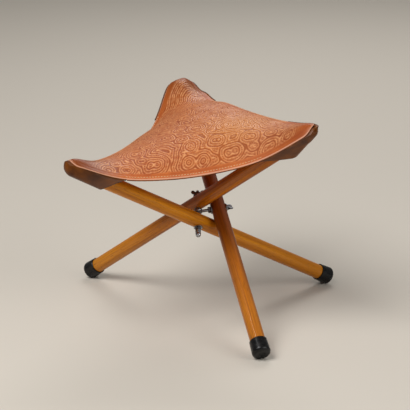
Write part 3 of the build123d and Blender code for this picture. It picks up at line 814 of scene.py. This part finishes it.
def plated_steel(name, pale, dull, rough):
    """Zinc-plated steel: grey metal with cloudy dulling, and grain that is drawn coarser than real."""
    material, tree = new_material(name)
    place = add(tree, "ShaderNodeTexCoord").outputs["Object"]
    cloud = add(tree, "ShaderNodeTexNoise", {"Vector": place, "Scale": every(6.25), "Detail": 4}).outputs[0]
    gloss = add(tree, "ShaderNodeMapRange", {0: cloud, 1: 0.3, 2: 0.7, 3: rough, 4: rough + 0.2})
    grain = {"Vector": place, "Scale": every(0.45455), "Detail": 2}
    grain = add(tree, "ShaderNodeTexNoise", grain).outputs[0]
    bump = add(tree, "ShaderNodeBump", {"Height": grain, "Strength": 0.05, "Distance": 0.1 * MM})
    return finished(material, {
        "Base Color": tint(tree, linear(pale), dull, cloud, 0.4, 0.68),
        "Metallic": 1,
        "Roughness": gloss.outputs[0],
        "Normal": bump.outputs[0],
    })


def give(obj, material):
    """Sets a piece's only material."""
    obj.data.materials.clear()
    obj.data.materials.append(material)


def dress_nodes(names, material):
    """Gives a finish to CAD nodes that stay."""
    for name in names:
        obj = frame["nodes"][name]
        for slot in obj.material_slots:
            slot.material = material
        if not obj.material_slots:
            obj.data.materials.append(material)


class StoolSizes(bpy.types.PropertyGroup):
    """Sizes of the leather work that a user may change."""

    leather: bpy.props.FloatProperty(
        name="Leather", description="Thickness of the seat leather", default=2.5 * MM, unit="LENGTH")
    pocket: bpy.props.FloatProperty(
        name="Pocket", description="Thickness of the pocket leather", default=2 * MM, unit="LENGTH")
    tool_depth: bpy.props.FloatProperty(
        name="Tool depth", description="Depth of the tool marks", default=0.45 * MM, unit="LENGTH")
    strip_width: bpy.props.FloatProperty(
        name="Strip width", description="Width of the edge strips", default=15 * MM, unit="LENGTH")
    stitch_pitch: bpy.props.FloatProperty(
        name="Stitch pitch", description="Distance between stitches", default=5 * MM, unit="LENGTH")
    stitch_inset: bpy.props.FloatProperty(
        name="Stitch inset", description="Distance from edge to seam", default=4.2 * MM, unit="LENGTH")


class StoolStage(bpy.types.PropertyGroup):
    """Values of the floor and the lamps."""

    floor: bpy.props.FloatVectorProperty(
        name="Floor", description="Floor colour", default=linear("#c9c1b5"), size=4, subtype="COLOR")
    key_power: bpy.props.FloatProperty(
        name="Key lamp", description="Power of the large lamp", default=76, unit="POWER")
    fill_power: bpy.props.FloatProperty(
        name="Fill lamp", description="Power of the fill lamp", default=30, unit="POWER")


class STOOL_OT_stage(bpy.types.Operator):
    """Camera at the photograph's view, a plain pale floor and soft studio lamps."""

    bl_idname = "stool.stage"
    bl_label = "Stage"

    def execute(self, context):
        stage = context.scene.stool_stage
        camera = bpy.data.objects.new("camera", bpy.data.cameras.new("camera"))
        camera.data.sensor_width = SENSOR_MM
        camera.data.lens = FOCAL_PIXELS / FRAME_PIXELS * SENSOR_MM
        camera.data.clip_end = CLIP_END
        ahead = Vector((0, math.cos(CAMERA_PITCH), -math.sin(CAMERA_PITCH)))
        right = Vector((1, 0, 0))
        top = right.cross(ahead)
        across = right * math.cos(CAMERA_ROLL) + top * math.sin(CAMERA_ROLL)
        upward = top * math.cos(CAMERA_ROLL) - right * math.sin(CAMERA_ROLL)
        place = (HUB[0] + CAMERA_FROM_HUB[0], HUB[1] + CAMERA_FROM_HUB[1], CAMERA_HEIGHT)
        turn = Matrix((across, upward, -ahead)).transposed().to_4x4()
        camera.matrix_world = Matrix.Translation(place) @ turn
        context.scene.collection.objects.link(camera)
        context.scene.camera = camera

        floor_mesh = bpy.data.meshes.new("floor")
        corners = [(x * FLOOR_HALF, y * FLOOR_HALF, 0) for x, y in ((-1, -1), (1, -1), (1, 1), (-1, 1))]
        floor_mesh.from_pydata(corners, [], [(0, 1, 2, 3)])
        floor = bpy.data.objects.new("floor", floor_mesh)
        context.scene.collection.objects.link(floor)
        paint = new_material("painted_floor")[0]
        give(floor, finished(paint, {"Base Color": tuple(stage.floor), "Roughness": 0.8}))

        for name, place, size, power in LAMPS:
            lamp = bpy.data.lights.new(name, "AREA")
            lamp.size = size
            lamp.energy = getattr(stage, power)
            obj = bpy.data.objects.new(name, lamp)
            obj.location = place
            obj.rotation_euler = (Vector(HUB) - Vector(place)).to_track_quat("-Z", "Y").to_euler()
            context.scene.collection.objects.link(obj)
        world = bpy.data.worlds.new("studio")
        world.use_nodes = True
        world.node_tree.nodes.clear()
        glow = add(world.node_tree, "ShaderNodeBackground", {"Color": linear("#f2f1ee"), "Strength": 0.2})
        add(world.node_tree, "ShaderNodeOutputWorld", {"Surface": glow.outputs[0]})
        context.scene.world = world
        context.scene.view_settings.view_transform = "Standard"
        return {"FINISHED"}


class STOOL_OT_seat(bpy.types.Operator):
    """Tooled leather seat in three petals."""

    bl_idname = "stool.seat"
    bl_label = "Seat"

    def execute(self, context):
        sizes = context.scene.stool_sizes
        leather = tooled_leather("tooled_cowhide")
        for index, name in enumerate(CORNERS):
            plan = petal_plan(index, PETAL_POINTS)
            x, y = plan[..., 0], plan[..., 1]
            depth, raised = tooling(x, y)
            inside = edge_distance(x, y)
            short = np.clip(RIM_ROUNDING - inside, 0, RIM_ROUNDING)
            round_off = RIM_ROUNDING - np.sqrt(np.clip(RIM_ROUNDING**2 - short**2, 0, None))
            height = seat_height(x, y)
            crease = CREASE_DEPTH * np.exp(-(((inside - sizes.stitch_inset) / CREASE_WIDTH) ** 2))
            top = np.stack([x, y, height - sizes.tool_depth * depth - round_off - crease], -1)
            bottom = np.stack([x, y, height - sizes.leather + UNDERSIDE_ROUNDING_SHARE * round_off], -1)
            obj = slab(f"seat_petal_{name}", top, bottom)
            away = np.hypot(x - PLAN_TIPS[index][0], y - PLAN_TIPS[index][1])
            tones = {
                "tooling": depth,
                "raised": raised,
                "rim": np.clip(1 - inside / RIM_TONE_WIDTH, 0, 1),
                "corner": CORNER_TONES[index] * np.clip((CORNER_TONE_REACH - away) / CORNER_TONE_FADE, 0, 1),
            }
            # The soft spots are warm dye and a painted pinkish sheen
            for tone, spots in DYE_AND_SHEEN_SPOTS.items():
                tones[tone] = sum(most * soft_spot(x, y, place, spread) for place, spread, most in spots)
            for tone, values in tones.items():
                set_values(obj, tone, values, 0)
            set_flat_map(obj, plan)
            give(obj, leather)
            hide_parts("seat_panel")
            follow_leg(obj)
        return {"FINISHED"}


class STOOL_OT_pockets(bpy.types.Operator):
    """Dark leather pockets that hold the seat's corners on the leg tops."""

    bl_idname = "stool.pockets"
    bl_label = "Pockets"

    def execute(self, context):
        sizes = context.scene.stool_sizes
        leather = dark_leather("bridle_leather")
        nose_turns = np.linspace(math.pi / 2, 0, NOSE_ROWS, endpoint=False)
        rows = np.concatenate([-np.sin(nose_turns), np.linspace(0, 1, POCKET_ROWS)])
        wall = sizes.pocket
        drop = sizes.leather + SHEET_GAP
        for index, name in enumerate(CORNERS):
            outer, way_down = pocket_grid(index, rows, wall, 0, POCKET_LIPS[index], OUTER_DROP)
            inner = pocket_grid(index, rows, wall, wall, INNER_LIP, drop)[0]
            obj = slab(f"corner_pocket_{name}", outer, inner)
            mouth = np.clip((rows - 1) / MOUTH_RIM_SHARE + 1, 0, 1)
            rim = np.repeat(mouth[:, None], outer.shape[1], axis=1)
            set_values(obj, "rim", rim, rim)
            run = np.broadcast_to(np.linspace(-0.5, 0.5, outer.shape[1]) * POCKET_MAP_WIDTH, way_down.shape)
            set_flat_map(obj, np.stack([way_down, run], -1))
            give(obj, leather)
            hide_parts(f"pocket_{name}")
            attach(obj, f"{name}_leg")
        return {"FINISHED"}


class STOOL_OT_strips(bpy.types.Operator):
    """Dark strips under the free edges of the seat, in halves, one at each corner."""

    bl_idname = "stool.strips"
    bl_label = "Edge strips"

    def execute(self, context):
        sizes = context.scene.stool_sizes
        leather = bpy.data.materials.get("bridle_leather") or dark_leather("bridle_leather")
        for edge_name, index, other in EDGE_HALVES:
            here, way, out = free_edge(index, other)
            half = np.linalg.norm(PLAN_TIPS[other] - here) / 2
            run = np.linspace(mouth_run(index, other), half, STRIP_ROWS)
            inset = np.linspace(STRIP_INSET, sizes.strip_width, STRIP_COLUMNS)
            plan = here + way * run[:, None, None] + out * (CORNER_RADIUS - inset)[None, :, None]
            below = seat_height(plan[..., 0], plan[..., 1]) - sizes.leather
            upper, lower = [np.concatenate([plan, (below - depth)[..., None]], -1) for depth in STRIP_FACES]
            obj = slab(f"edge_strip_{edge_name}_{CORNERS[index]}", upper, lower)
            set_values(obj, "rim", np.zeros(plan.shape[:2]), 0)
            set_flat_map(obj, plan)
            give(obj, leather)
            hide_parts(f"edge_strip_{edge_name}")
            follow_leg(obj)
        return {"FINISHED"}


class STOOL_OT_stitching(bpy.types.Operator):
    """Pale stitches along the free edges."""

    bl_idname = "stool.stitching"
    bl_label = "Stitching"

    def execute(self, context):
        sizes = context.scene.stool_sizes
        thread = waxed_thread("waxed_linen")
        for edge_name, index, other in EDGE_HALVES:
            here, way, out = free_edge(index, other)
            half = np.linalg.norm(PLAN_TIPS[other] - here) / 2
            run = np.arange(mouth_run(index, other), half, sizes.stitch_pitch)
            middles = here + out * (CORNER_RADIUS - sizes.stitch_inset) + way * run[:, None]
            mesh = bpy.data.meshes.new(f"stitches_{edge_name}_{CORNERS[index]}")
            mesh.from_pydata(*stitch_row(middles, way, out, sizes.stitch_pitch * STITCH_LENGTH_SHARE))
            obj = outward_object(mesh)
            give(obj, thread)
            follow_leg(obj)
        return {"FINISHED"}


class STOOL_OT_legs(bpy.types.Operator):
    """Varnish on the three dowel legs."""

    bl_idname = "stool.legs"
    bl_label = "Legs"

    def execute(self, context):
        for index, (name, finish) in enumerate(zip(CORNERS, LEG_FINISHES)):
            dress_nodes([f"leg_{name}"], varnished_wood(*finish, index))
        return {"FINISHED"}


class STOOL_OT_ferrules(bpy.types.Operator):
    """Rubber ferrules and the steel discs inside them."""

    bl_idname = "stool.ferrules"
    bl_label = "Ferrules"

    def execute(self, context):
        dress_nodes([f"ferrule_{name}" for name in CORNERS], moulded_rubber("moulded_rubber"))
        steel = plated_steel("steel_disc", "#9b9c9e", "#77787a", 0.35)
        dress_nodes([f"ferrule_disc_{name}" for name in CORNERS], steel)
        return {"FINISHED"}


class STOOL_OT_hub(bpy.types.Operator):
    """Plating on the bolts, washers and nuts."""

    bl_idname = "stool.hub"
    bl_label = "Hub"

    def execute(self, context):
        bright = ("washer", "bolt", "cap_nut")
        names = [name for name in frame["nodes"] if any(word in name for word in bright)]
        dress_nodes(names, plated_steel("zinc_plated_steel", "#b4b6ba", "#7f8185", 0.22))
        names = [name for name in frame["nodes"] if "nut" in name and name not in names]
        dress_nodes(names, plated_steel("dulled_plated_steel", "#77777a", "#3f3f42", 0.3))
        return {"FINISHED"}


class STOOL_PT_panel(bpy.types.Panel):
    """Stool pieces in the 3D view's sidebar."""

    bl_idname = "STOOL_PT_panel"
    bl_label = "Tripod Stool"
    bl_space_type = "VIEW_3D"
    bl_region_type = "UI"
    bl_category = "Stool"

    def draw(self, context):
        column = self.layout.column()
        for name in StoolSizes.__annotations__:
            column.prop(context.scene.stool_sizes, name)
        for name in StoolStage.__annotations__:
            column.prop(context.scene.stool_stage, name)
        for kind in OPERATORS:
            column.operator(kind.bl_idname)


OPERATORS = (
    STOOL_OT_stage,
    STOOL_OT_seat,
    STOOL_OT_pockets,
    STOOL_OT_strips,
    STOOL_OT_stitching,
    STOOL_OT_legs,
    STOOL_OT_ferrules,
    STOOL_OT_hub,
)
CLASSES = (StoolSizes, StoolStage, *OPERATORS, STOOL_PT_panel)


def register():
    """Registers the classes and hangs the sizes on the scene."""
    for kind in CLASSES:
        bpy.utils.register_class(kind)
    bpy.types.Scene.stool_sizes = bpy.props.PointerProperty(type=StoolSizes)
    bpy.types.Scene.stool_stage = bpy.props.PointerProperty(type=StoolStage)


def unregister():
    """Takes the sizes and the classes away again."""
    del bpy.types.Scene.stool_stage
    del bpy.types.Scene.stool_sizes
    for kind in reversed(CLASSES):
        bpy.utils.unregister_class(kind)


def main():
    register()
    for kind in OPERATORS:
        group, name = kind.bl_idname.split(".")
        getattr(getattr(bpy.ops, group), name)()


if __name__ == "__main__":
    main()
